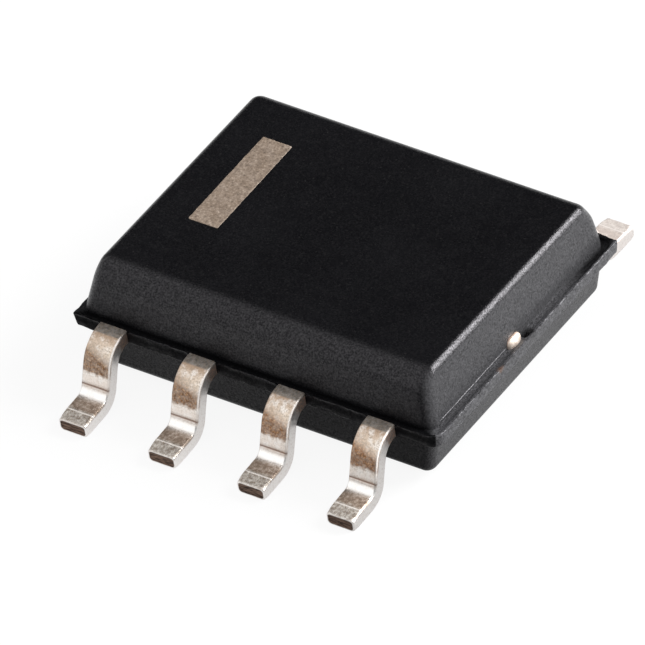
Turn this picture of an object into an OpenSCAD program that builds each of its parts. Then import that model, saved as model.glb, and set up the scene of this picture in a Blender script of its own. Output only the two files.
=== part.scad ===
// Small-outline integrated circuit, eight gull-wing leads, narrow body.
// X runs along the lead rows, Y from the front row to the back row and Z up.
// The origin lies on the seating plane midway between the two rows of toes.

/* [Moulding] */
// Length of the moulding at the parting plane, along the lead rows
body_l = 4.90; // [4.7:0.05:5.1]
// Width of the moulding at the parting plane, across the lead rows
body_w = 3.87; // [3.7:0.01:4]
// Gap between the seating plane and the underside of the moulding
standoff = 0.11; // [0.08:0.01:0.2]
// Height from the seating plane to the top of the moulding
top_z = 1.57; // [1.5:0.01:1.75]
// Draft of the upper half on the two short ends, in degrees
upper_end_draft = 7.5; // [3:0.5:10]
// Draft of the upper half along the two lead rows, in degrees
upper_side_draft = 15; // [5:0.5:17]
// Draft of the lower half on the two short ends, in degrees
lower_end_draft = 11; // [3:0.5:12]
// Draft of the lower half along the two lead rows, in degrees
lower_side_draft = 5; // [3:0.5:12]
// Radius of the upright corners at the parting plane
corner_r = 0.15; // [0.1:0.01:0.25]
// Radius of the edges round the top and the underside
edge_r = 0.14; // [0.08:0.01:0.18]
// How far the moulding sits off the middle of the lead rows, along Y
body_shift = 0.04; // [-0.04:0.005:0.04]

/* [Parting flange] */
// Overhang of the flange past the moulding on each short end
flange_end = 0.145; // [0.05:0.005:0.15]
// Overhang of the flange past the moulding on each lead row
flange_side = 0.065; // [0.03:0.005:0.1]
// Thickness of the flange
flange_t = 0.18; // [0.1:0.01:0.2]
// How far the flange's edges lean in towards its underside
flange_lean = 0.02; // [0:0.005:0.03]

/* [Ejector mark] */
// Diameter of the round ejector mark in the underside
ejector_d = 1.0; // [0.6:0.1:1.4]
// Depth of the ejector mark
ejector_depth = 0.02; // [0.01:0.005:0.04]

/* [Lead frame] */
// Distance between neighbouring leads of a row
pitch = 1.27; // [1.25:0.005:1.29]
// Height of the lead frame's underside above the seating plane
frame_z = 0.685; // [0.65:0.005:0.75]
// How far the lead frame sits off the middle of the moulding, along X
frame_shift = -0.115; // [-0.12:0.005:0]
// Thickness of the copper strip
strip_t = 0.20; // [0.17:0.01:0.22]
// Width of a lead outside the moulding
lead_w = 0.39; // [0.33:0.01:0.48]
// Distance over the toes of the two rows
toe_span = 5.97; // [5.9:0.01:6.2]
// Length of the flat foot
foot_l = 0.405; // [0.35:0.005:0.45]
// Lean of the leg from upright, in degrees
leg_lean = 18; // [12:1:20]
// Inside radius of the bend under the shoulder
shoulder_r = 0.20; // [0.16:0.01:0.22]
// Inside radius of the bend above the foot
foot_r = 0.12; // [0.1:0.01:0.14]
// Length of the coined end of the foot
coin_l = 0.19; // [0.1:0.01:0.25]
// Drop of the coined end at the toe
coin_drop = 0.022; // [0.01:0.002:0.03]

/* [Inner fingers] */
// Distance from the middle of the part to the inner end of a finger
finger_y = 1.25; // [1.2:0.01:1.32]
// Length of the wide head of a finger
head_l = 0.40; // [0.3:0.01:0.42]
// Width of the head of a finger
head_w = 0.75; // [0.6:0.01:0.78]

/* [Die pad] */
// Length of the die pad
pad_l = 3.00; // [2.6:0.05:3.2]
// Width of the die pad
pad_w = 2.10; // [1.8:0.05:2.2]
// How far the die pad lies below the lead frame
pad_drop = 0.15; // [0.08:0.01:0.2]
// Width of the tie bars that hold the die pad
tie_w = 0.27; // [0.2:0.01:0.3]
// Length of the slope where a tie bar comes down to the pad
tie_slope_l = 0.25; // [0.2:0.01:0.35]
// How far the cut end of a tie bar stands out of the moulding
tie_stub = 0.05; // [0.01:0.005:0.06]
// Height of the oval burr that the cut leaves on a tie bar
burr_h = 0.18; // [0.12:0.01:0.2]

/* [Die] */
// Length of the silicon die
die_l = 1.60; // [1.3:0.05:2]
// Width of the silicon die
die_w = 1.30; // [1.1:0.05:1.6]
// Thickness of the silicon die
die_t = 0.25; // [0.15:0.01:0.28]
// Thickness of the die attach layer
attach_t = 0.03; // [0.02:0.005:0.05]
// How far the die attach layer spreads past the die
attach_spread = 0.06; // [0.03:0.01:0.1]

/* [Bond wires] */
// Diameter of a bond wire
wire_d = 0.03; // [0.025:0.005:0.05]
// Rise of the wire's arc over the line between its ends
wire_rise = 0.16; // [0.1:0.01:0.2]
// Distance between neighbouring bond pads along an edge of the die
bond_pitch = 0.38; // [0.3:0.01:0.4]
// Distance from the edge of the die to the middle of its bond pads
bond_inset = 0.12; // [0.1:0.01:0.15]
// Distance from the inner end of a finger to the end of its wire
stitch_inset = 0.14; // [0.1:0.01:0.2]
// Diameter of the ball at the die end of a wire
ball_d = 0.075; // [0.06:0.005:0.09]
// Height of that ball
ball_h = 0.02; // [0.015:0.005:0.03]

/* [Pin 1 mark] */
// Length of the mark, across the part
mark_l = 1.65; // [1:0.05:2.2]
// Width of the mark
mark_w = 0.42; // [0.2:0.01:0.6]
// Thickness of the mark
mark_t = 0.01; // [0.005:0.001:0.02]
// Distance from the middle of the part to the middle of the mark, along X
mark_x = 1.577; // [1.3:0.001:1.7]
// Distance from the middle of the part to the middle of the mark, along Y
mark_y = 0.25; // [0:0.01:0.4]

/* [Hidden] */

round_fn = 32;                              // facets of a rounded corner
arc_fn = 96;                                // facets of a bend
wire_fn = 12;                               // facets round a bond wire
reach = 0.05;                               // how far a cutting shape runs on
frame_top = frame_z + strip_t;
pad_z = frame_z - pad_drop;
pad_top = pad_z + strip_t;
die_z = pad_top + attach_t;
die_top = die_z + die_t;
flange_z = frame_top - flange_t;
foot_y = toe_span / 2 - foot_l;             // where the foot's flat starts
// Both bends and the leg between them, tangent to shoulder and foot
bend_drop = (shoulder_r + foot_r + strip_t) * (1 - sin(leg_lean));
leg_l = (frame_z - bend_drop) / cos(leg_lean);
shoulder_y = foot_y - leg_l * sin(leg_lean)
             - (shoulder_r + foot_r + strip_t) * cos(leg_lean);

// Place of lead i along X, and the side of the part that it is on
function lead_x(i) = frame_shift + pitch * (i <= 4 ? i - 2.5 : 6.5 - i);
function lead_side(i) = i <= 4 ? -1 : 1;
// The heads of the outer leads reach only towards the middle
function is_outer(i) = i == 1 || i == 4 || i == 5 || i == 8;
function inward(i) = lead_x(i) > frame_shift ? -1 : 1;
function head_x(i) = lead_x(i) + (is_outer(i) ? inward(i) * (head_w - lead_w) / 2 : 0);
// Inset of a rounding's centre from the parting line, on a wall of the given draft
function draft_inset(h, draft, r) = (r + (h - r) * sin(draft)) / cos(draft);

// Four copies, one in each quarter, at the given distance from the middle
module quarters(x, y) {
    for (sx = [-1, 1], sy = [-1, 1]) translate([sx * x, sy * y]) children();
}

// One half of the moulding: drafted walls with rounded corners and edges, rising
// from the flange to height h above its near face
module half_block(h, end_draft, side_draft) {
    x = body_l / 2;
    y = body_w / 2;
    edge_x = x - draft_inset(h, end_draft, edge_r);
    edge_y = y - draft_inset(h, side_draft, edge_r);
    hull() {
        translate([0, 0, -flange_t / 2])
            quarters(x - corner_r, y - corner_r)
                cylinder(r = corner_r, h = flange_t / 2, $fn = round_fn);
        translate([0, 0, h - edge_r])
            quarters(edge_x, edge_y) sphere(r = edge_r, $fn = round_fn);
        translate([-edge_x, -edge_y, 0]) cube([2 * edge_x, 2 * edge_y, h]);
    }
}

// The flange left by the dam bars, its edges leaning in downwards
module flange() {
    x = body_l / 2 + flange_end;
    y = body_w / 2 + flange_side;
    intersection() {
        translate([0, y, frame_top]) rotate([90, 0, 0])
            linear_extrude(2 * y) flange_section(x);
        translate([-x, 0, frame_top]) rotate([90, 0, 90])
            linear_extrude(2 * x) flange_section(y);
    }
}

module flange_section(half) {
    polygon([[-half, 0], [-half + flange_lean, -flange_t],
             [half - flange_lean, -flange_t], [half, 0]]);
}

module ejector_mark() {
    translate([0, 0, standoff - reach])
        cylinder(d = ejector_d, h = reach + ejector_depth, $fn = arc_fn);
}

// Gap in the flange for lead i, from the foot of the moulding's wall outwards
module lead_gap(i) {
    translate([lead_x(i) - lead_w / 2, body_shift, flange_z - reach])
        scale([1, lead_side(i), 1]) translate([0, body_w / 2, 0])
            cube([lead_w, flange_side + reach, flange_t + 2 * reach]);
}

module moulded_body() {
    color("#1b1b1d") difference() {
        translate([0, body_shift, 0]) difference() {
            union() {
                translate([0, 0, frame_top])
                    half_block(top_z - frame_top, upper_end_draft, upper_side_draft);
                translate([0, 0, flange_z]) mirror([0, 0, 1])
                    half_block(flange_z - standoff, lower_end_draft, lower_side_draft);
                flange();
            }
            ejector_mark();
        }
        for (i = [1:8]) {
            lead_gap(i);
            lead_solid(i);
            wire_solid(i);
        }
        pad_solid();
        attach_solid();
        die_solid();
    }
}

module pin_1_mark() {
    color("#a8998a") translate([-mark_x, mark_y + body_shift, top_z + mark_t / 2])
        cube([mark_w, mark_l, mark_t], center = true);
}

// Bend about c between two cross-sections of the strip, each [inner, outer] edge
module bend(c, inner_r, from, to) {
    intersection() {
        translate(c) difference() {
            circle(r = inner_r + strip_t, $fn = arc_fn);
            circle(r = inner_r, $fn = arc_fn);
        }
        polygon([c, from[0], from[1], 2 * from[1] - c,
                 2 * (from[1] + to[1]) - 3 * c, 2 * to[1] - c, to[1], to[0]]);
    }
}

// Side view of a lead outside its finger head, distance outwards and then height,
// from the centre of the bend under the shoulder
module lead_profile() {
    run = shoulder_y - finger_y;
    across = [cos(leg_lean), sin(leg_lean)];
    along = leg_l * [sin(leg_lean), -cos(leg_lean)];
    foot_c = [foot_y - shoulder_y, strip_t + foot_r - frame_z + shoulder_r];
    // Cross-sections of the strip where its straight stretches meet the bends
    shoulder_end = [[0, shoulder_r], [0, shoulder_r + strip_t]];
    leg_top = [shoulder_r * across, (shoulder_r + strip_t) * across];
    leg_foot = [leg_top[1] + along, leg_top[0] + along];
    foot_start = [foot_c - [0, foot_r], foot_c - [0, foot_r + strip_t]];
    polygon([shoulder_end[0], shoulder_end[1],
             shoulder_end[1] - [run, 0], shoulder_end[0] - [run, 0]]);
    bend([0, 0], shoulder_r, leg_top, shoulder_end);
    polygon([leg_top[0], leg_foot[1], leg_foot[0], leg_top[1]]);
    bend(foot_c, foot_r, leg_foot, foot_start);
    polygon([foot_start[1], foot_start[1] + [foot_l, 0],
             foot_start[0] + [foot_l, -coin_drop], foot_start[0] + [foot_l - coin_l, 0],
             foot_start[0]]);
}

// Lead i as one strip: finger head inside the moulding, gull wing outside
module lead_solid(i) {
    scale([1, -lead_side(i), 1]) {
        translate([lead_x(i), 0, 0]) rotate([90, 0, -90])
            translate([shoulder_y, frame_z - shoulder_r, -lead_w / 2])
                linear_extrude(lead_w) lead_profile();
        translate([head_x(i) - head_w / 2, -finger_y - head_l, frame_z])
            cube([head_w, head_l, strip_t]);
    }
}

module lead(i) { color("#c9c5be") lead_solid(i); }

// Oval burr on the end of a tie bar, half sunk in the flange and the wall
module tie_burr() {
    translate([body_l / 2 - tie_stub, 0, frame_top]) rotate([90, 0, 90])
        linear_extrude(2 * tie_stub) {
            square([tie_w - burr_h, burr_h], center = true);
            for (s = [-1, 1]) translate([s * (tie_w - burr_h) / 2, 0])
                circle(d = burr_h, $fn = arc_fn);
        }
}

// Die pad with a tie bar to each short end of the moulding
module pad_solid() {
    translate([frame_shift - pad_l / 2, -pad_w / 2, pad_z]) cube([pad_l, pad_w, strip_t]);
    for (s = [-1, 1]) scale([s, 1, 1]) {
        pad_end = s * frame_shift + pad_l / 2;
        tie_end = body_l / 2 + tie_stub;
        translate([0, tie_w / 2, 0]) rotate([90, 0, 0]) linear_extrude(tie_w)
            polygon([[pad_end - reach, pad_z], [pad_end, pad_z],
                     [pad_end + tie_slope_l, frame_z], [tie_end, frame_z],
                     [tie_end, frame_top], [pad_end + tie_slope_l, frame_top],
                     [pad_end, pad_top], [pad_end - reach, pad_top]]);
        tie_burr();
    }
}

module die_pad() { color("#b87a4b") pad_solid(); }

module attach_solid() {
    translate([frame_shift, 0, pad_top + attach_t / 2])
        cube([die_l + 2 * attach_spread, die_w + 2 * attach_spread, attach_t], center = true);
}

module die_attach() { color("#9a9a96") attach_solid(); }

module die_solid() {
    translate([frame_shift, 0, die_z + die_t / 2]) cube([die_l, die_w, die_t], center = true);
}

module silicon_die() { color("#4a4f5c") die_solid(); }

// Bond wire i: a ball on the die and an arc over to the head of lead i
module wire_solid(i) {
    from = [frame_shift + (i <= 4 ? i - 2.5 : 6.5 - i) * bond_pitch,
            lead_side(i) * (die_w / 2 - bond_inset), die_top];
    to = [head_x(i), lead_side(i) * (finger_y + stitch_inset), frame_top];
    run = to - from;
    chord = norm(run);
    arc_r = (chord * chord / 4 + wire_rise * wire_rise) / (2 * wire_rise);
    half_angle = asin(chord / 2 / arc_r);
    over = wire_d / arc_r * 180 / PI; // runs on into the die and the finger
    translate(from) cylinder(d = ball_d, h = ball_h, $fn = round_fn);
    translate((from + to) / 2)
        rotate([0, 0, atan2(run.y, run.x)])
            rotate([0, atan2(-run.z, norm([run.x, run.y])), 0])
                translate([0, 0, wire_rise - arc_r]) rotate([90, 0, 0])
                    rotate([0, 0, 90 - half_angle - over])
                        rotate_extrude(angle = 2 * (half_angle + over), $fn = arc_fn)
                            translate([arc_r, 0]) circle(d = wire_d, $fn = wire_fn);
}

// The wire ends on the faces of the die and the finger
module bond_wire(i) {
    color("#d8b04a") difference() {
        wire_solid(i);
        die_solid();
        lead_solid(i);
    }
}

moulded_body();
pin_1_mark();
lead(1);  // lead_1
lead(2);  // lead_2
lead(3);  // lead_3
lead(4);  // lead_4
lead(5);  // lead_5
lead(6);  // lead_6
lead(7);  // lead_7
lead(8);  // lead_8
die_pad();
die_attach();
silicon_die();
bond_wire(1);  // bond_wire_1
bond_wire(2);  // bond_wire_2
bond_wire(3);  // bond_wire_3
bond_wire(4);  // bond_wire_4
bond_wire(5);  // bond_wire_5
bond_wire(6);  // bond_wire_6
bond_wire(7);  // bond_wire_7
bond_wire(8);  // bond_wire_8
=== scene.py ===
import math

import bpy
import numpy as np
from mathutils import Matrix, Vector


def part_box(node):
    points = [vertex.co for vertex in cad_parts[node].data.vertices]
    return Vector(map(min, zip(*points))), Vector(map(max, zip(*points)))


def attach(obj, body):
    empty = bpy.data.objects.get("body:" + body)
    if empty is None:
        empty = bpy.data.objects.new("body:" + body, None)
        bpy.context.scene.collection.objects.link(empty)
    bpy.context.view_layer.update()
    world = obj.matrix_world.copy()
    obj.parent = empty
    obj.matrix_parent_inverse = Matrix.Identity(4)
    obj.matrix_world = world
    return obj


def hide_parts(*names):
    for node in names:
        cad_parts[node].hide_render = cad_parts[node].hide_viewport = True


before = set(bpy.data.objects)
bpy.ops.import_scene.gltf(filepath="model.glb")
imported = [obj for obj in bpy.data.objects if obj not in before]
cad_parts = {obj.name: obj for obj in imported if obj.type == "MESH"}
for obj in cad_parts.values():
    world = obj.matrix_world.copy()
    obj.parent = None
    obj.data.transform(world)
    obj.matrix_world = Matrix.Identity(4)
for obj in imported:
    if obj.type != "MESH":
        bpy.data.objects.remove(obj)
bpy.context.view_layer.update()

mm = 0.001


# ---- shared helpers ----

def cadBoxOf(node):
    low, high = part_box(node)
    return np.array(low) / mm, np.array(high) / mm


# sRGB hex to linear red, green, blue and alpha
def hexColour(code, alpha=1.0):
    values = np.array([int(code[i:i + 2], 16) for i in (1, 3, 5)]) / 255
    linear = np.where(values <= 0.04045, values / 12.92, ((values + 0.055) / 1.055) ** 2.4)
    return (*linear.tolist(), alpha)


# Adds a node, sets its properties, fills sockets by value and links others
def addNode(tree, kind, values=None, links=None, **settings):
    node = tree.nodes.new(kind)
    for name, value in settings.items():
        setattr(node, name, value)
    for socket, value in (values or {}).items():
        node.inputs[socket].default_value = value
    for socket, source in (links or {}).items():
        tree.links.new(source, node.inputs[socket])
    return node


# A ramp node whose stops are (position, colour or grey value)
def addRamp(tree, factor, stops, interpolation="LINEAR"):
    node = addNode(tree, "ShaderNodeValToRGB", links={"Fac": factor})
    ramp = node.color_ramp
    ramp.interpolation = interpolation
    while len(ramp.elements) < len(stops):
        ramp.elements.new(0.5)
    for element, (position, value) in zip(ramp.elements, stops):
        element.position = position
        element.color = value if isinstance(value, tuple) else (value, value, value, 1)
    return node.outputs["Color"]


def addMath(tree, operation, first, second, clamp=False):
    node = addNode(tree, "ShaderNodeMath", operation=operation, use_clamp=clamp)
    for socket, value in enumerate((first, second)):
        if isinstance(value, (int, float)):
            node.inputs[socket].default_value = value
        else:
            tree.links.new(value, node.inputs[socket])
    return node.outputs["Value"]


def mixColour(tree, factor, first, second, blend="MIX"):
    node = addNode(tree, "ShaderNodeMix", data_type="RGBA", blend_type=blend)
    for socket, value in ((0, factor), (6, first), (7, second)):
        if isinstance(value, (int, float, tuple)):
            node.inputs[socket].default_value = value
        else:
            tree.links.new(value, node.inputs[socket])
    return node.outputs[2]


# Noise whose cells measure about sizeMm on the piece
def addNoise(tree, vector, sizeMm, detail=2.0, roughness=0.5, distortion=0.0):
    values = {"Scale": 1 / (sizeMm * mm), "Detail": detail, "Roughness": roughness,
              "Distortion": distortion}
    return addNode(tree, "ShaderNodeTexNoise", values, {"Vector": vector}).outputs["Fac"]


def newMaterial(name):
    material = bpy.data.materials.new(name)
    material.use_nodes = True
    tree = material.node_tree
    tree.nodes.clear()
    shader = tree.nodes.new("ShaderNodeBsdfPrincipled")
    output = tree.nodes.new("ShaderNodeOutputMaterial")
    tree.links.new(shader.outputs["BSDF"], output.inputs["Surface"])
    return material, tree, shader


def setSockets(shader, values):
    for socket, value in values.items():
        shader.inputs[socket].default_value = value


# Six times the signed volume decides which way the faces look
def outwardFaces(points, quads, triangles):
    halves = np.vstack([quads[:, [0, 1, 2]], quads[:, [0, 2, 3]], triangles])
    a, b, c = (points[halves[:, k]] for k in range(3))
    if np.einsum("ij,ij->i", a, np.cross(b, c)).sum() < 0:
        return quads[:, ::-1], triangles[:, ::-1]
    return quads, triangles


# Faces of a closed shell made of rows of loops: quads between neighbouring rows and
# a fan from each end row to its own middle point, which follow the rows
def shellFaces(rowCount, columnCount):
    row, column = np.meshgrid(np.arange(rowCount - 1), np.arange(columnCount), indexing="ij")
    after = (column + 1) % columnCount
    quads = np.stack([row * columnCount + column, row * columnCount + after,
                      (row + 1) * columnCount + after, (row + 1) * columnCount + column],
                     axis=-1).reshape(-1, 4)
    lap = np.arange(columnCount)
    ahead = (lap + 1) % columnCount
    last = (rowCount - 1) * columnCount
    start, end = rowCount * columnCount, rowCount * columnCount + 1
    first = np.stack([np.full(columnCount, start), ahead, lap], axis=-1)
    final = np.stack([np.full(columnCount, end), last + lap, last + ahead], axis=-1)
    return quads, np.vstack([first, final])


# A mesh object at the origin; points in millimetres
def makeMesh(name, points, quads, triangles, sharpAngle=None):
    quads, triangles = outwardFaces(points, quads, triangles)
    mesh = bpy.data.meshes.new(name)
    mesh.vertices.add(len(points))
    mesh.vertices.foreach_set("co", (points * mm).astype(np.float32).ravel())
    corners = np.concatenate([quads.ravel(), triangles.ravel()]).astype(np.int32)
    totals = np.concatenate([np.full(len(quads), 4), np.full(len(triangles), 3)]).astype(np.int32)
    mesh.loops.add(len(corners))
    mesh.loops.foreach_set("vertex_index", corners)
    mesh.polygons.add(len(totals))
    mesh.polygons.foreach_set("loop_start", np.concatenate([[0], np.cumsum(totals)[:-1]]).astype(np.int32))
    mesh.polygons.foreach_set("loop_total", totals)
    mesh.update(calc_edges=True)
    mesh.polygons.foreach_set("use_smooth", np.ones(len(totals), dtype=bool))
    if sharpAngle:
        mesh.set_sharp_from_angle(angle=math.radians(sharpAngle))
    piece = bpy.data.objects.new(name, mesh)
    bpy.context.collection.objects.link(piece)
    return piece


# One lap round a rounded rectangle, starting on the +X side: the side position of each
# column (-1 to 1 both ways) and the direction in which its corner radius points
def lapTemplate(endStops, sideStops, cornerCount):
    turn = np.linspace(0, math.pi / 2, cornerCount + 2)[1:-1]
    parts = []
    for quarter, (stops, signX, signY) in enumerate(((endStops, 1, 1), (sideStops, -1, 1),
                                                     (endStops, -1, -1), (sideStops, 1, -1))):
        direction = quarter * math.pi / 2
        flat = np.full(len(stops), 1.0)
        if quarter % 2 == 0:
            ax, ay = flat * signX, stops * signX
        else:
            ax, ay = -stops * signY, flat * signY
        parts.append(np.stack([ax, ay, flat * math.cos(direction), flat * math.sin(direction)]))
        cornerX = 1 if quarter in (0, 3) else -1
        cornerY = 1 if quarter in (0, 1) else -1
        angle = direction + turn
        parts.append(np.stack([np.full(cornerCount, cornerX), np.full(cornerCount, cornerY),
                               np.cos(angle), np.sin(angle)]))
    return np.hstack(parts)


# Points of many laps at once: half sizes shrink by the corner radius, which is then
# added back along each column's own direction
def lapPoints(template, halfX, halfY, corner):
    ax, ay, nx, ny = template
    x = ax * (halfX - corner)[:, None] + nx * corner[:, None]
    y = ay * (halfY - corner)[:, None] + ny * corner[:, None]
    return x, y


# Smooth value noise, -1 to 1: a random lattice blended with a cosine ramp, which
# repeats along the first axis after the given number of cells
def roughField(u, v, cells, seed):
    lattice = np.random.default_rng(seed).uniform(-1, 1, (cells, int(np.max(v)) + 3))
    iu, iv = np.floor(u).astype(int), np.floor(v).astype(int)
    fu = (1 - np.cos((u - iu) * math.pi)) / 2
    fv = (1 - np.cos((v - iv) * math.pi)) / 2
    near, far = lattice[iu % cells], lattice[(iu + 1) % cells]
    pick = lambda rows, k: np.take_along_axis(rows, k[..., None], -1)[..., 0]
    low = pick(near, iv) * (1 - fu) + pick(far, iv) * fu
    high = pick(near, iv + 1) * (1 - fu) + pick(far, iv + 1) * fu
    return low * (1 - fv) + high * fv


def smoothStep(value, low, high):
    t = np.clip((value - low) / (high - low), 0, 1)
    return t * t * (3 - 2 * t)


# ---- camera ----

view = {
    "azimuth": 38.26,      # degrees round from the front towards +X
    "elevation": 40.68,
    "roll": -8.03,         # the horizon drops to the right
    "distance": 315.75,    # mm, long lens
    "sensor": 36.0,
    "lens": 1478.5,
    "aim": (-0.3645, -0.0565, 0.0916),
}


def makeCamera():
    a, e, r = (math.radians(view[k]) for k in ("azimuth", "elevation", "roll"))
    back = Vector((math.sin(a) * math.cos(e), -math.cos(a) * math.cos(e), math.sin(e)))
    right = Vector((math.cos(a), math.sin(a), 0))
    up = back.cross(right)
    across = right * math.cos(r) + up * math.sin(r)
    above = up * math.cos(r) - right * math.sin(r)
    data = bpy.data.cameras.new("camera")
    data.sensor_width = view["sensor"]
    data.lens = view["lens"]
    data.clip_start, data.clip_end = 0.01, 100
    camera = bpy.data.objects.new("camera", data)
    bpy.context.collection.objects.link(camera)
    place = (Vector(view["aim"]) + back * view["distance"]) * mm
    camera.matrix_world = Matrix.Translation(place) @ Matrix((across, above, back)).transposed().to_4x4()
    bpy.context.scene.camera = camera


makeCamera()
print("camera placed")


# ---- moulding ----

moulding = {
    "flangeEnd": 0.145,         # overhang of the flange on the short ends, mm
    "flangeSide": 0.065,
    "flangeThickness": 0.18,
    "frontStep": 0.03,          # the front wall's foot stands back by this much more
    "leftStep": 0.085,          # the left wall's foot stands out by this much more
    "upperDraft": (8.2, 12.0, 15.0),  # short ends, front, back, degrees
    "lowerDraft": (11.0, 5.0, 5.0),
    "cornerRadius": 0.15,
    "edgeRadius": (0.108, 0.33, 0.145),  # short ends, front, back
    "lowerRadius": (0.14, 0.14, 0.14),
    "topSkew": 0.013,           # the top mould half sits turned by this much, radians
    "ejectorRadius": 0.5,
    "ejectorDepth": 0.02,
    "rimRoughness": 0.012,      # torn edge left by trimming
    "beadHeight": 0.007,        # witness line at the foot of the right end's wall
    "pitPlace": (0.12, 0.06),   # chipped pit behind a tie bar: along Y, half length
    "pitDepth": 0.09,
    "wornCorner": 0.085,
    "spotPlace": (2.585, -0.54, 0.88),
    "leadHalf": 0.198,          # half width of the flange's openings for the leads
    "openingDepth": 0.06,
    "seed": 11,
}

bodyLow, bodyHigh = cadBoxOf("moulded_body")
leadLow, leadHigh = cadBoxOf("lead_2")
frameTop = leadHigh[2]


# Half width of a drafted wall that ends in a round edge tangent to it: a straight line
# leaning in from the parting plane, then a circle of the edge radius
def wallHalf(rise, height, base, draft, radius):
    lean = math.radians(draft)
    centre = base - (radius + (height - radius) * math.sin(lean)) / math.cos(lean)
    over = rise - (height - radius)
    edge = centre + np.sqrt(np.clip(radius ** 2 - np.clip(over, 0, None) ** 2, 0, None))
    return np.where(over < radius * math.sin(lean), base - rise * math.tan(lean), edge)


# Rows of one half block from its parting plane outwards: wall, round edge, flat face.
# Each row holds its rise, half length, depth to the front and to the back, and the
# radius of its corners
def blockRows(height, drafts, base, faceStops, radii):
    small, large = min(radii), max(radii)
    foot = (0, 0.004, 0.008, 0.012, 0.016, 0.020, 0.026, 0.034)
    wall = np.concatenate([foot, np.linspace(0.05, height - large, 14)])
    angle = np.linspace(0, math.pi / 2, 28)[1:]
    rise = np.concatenate([wall, height - large + large * np.sin(angle)])
    sides = [wallHalf(rise, height, base[0], drafts[0], radii[0]),
             wallHalf(rise, height, base[1], drafts[1], radii[1]),
             wallHalf(rise, height, base[2], drafts[2], radii[2])]
    over = np.clip(rise - (height - small), 0, None)
    shrink = np.sqrt(np.clip(1 - (over / small) ** 2, 0, None))
    corner = moulding["cornerRadius"] * shrink
    face = np.array(faceStops)
    rows = np.stack([rise, *sides, corner])
    flat = np.stack([np.full(len(face), height), *(half[-1] * face for half in sides),
                     corner[-1] * face])
    return np.hstack([rows, flat])


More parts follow.
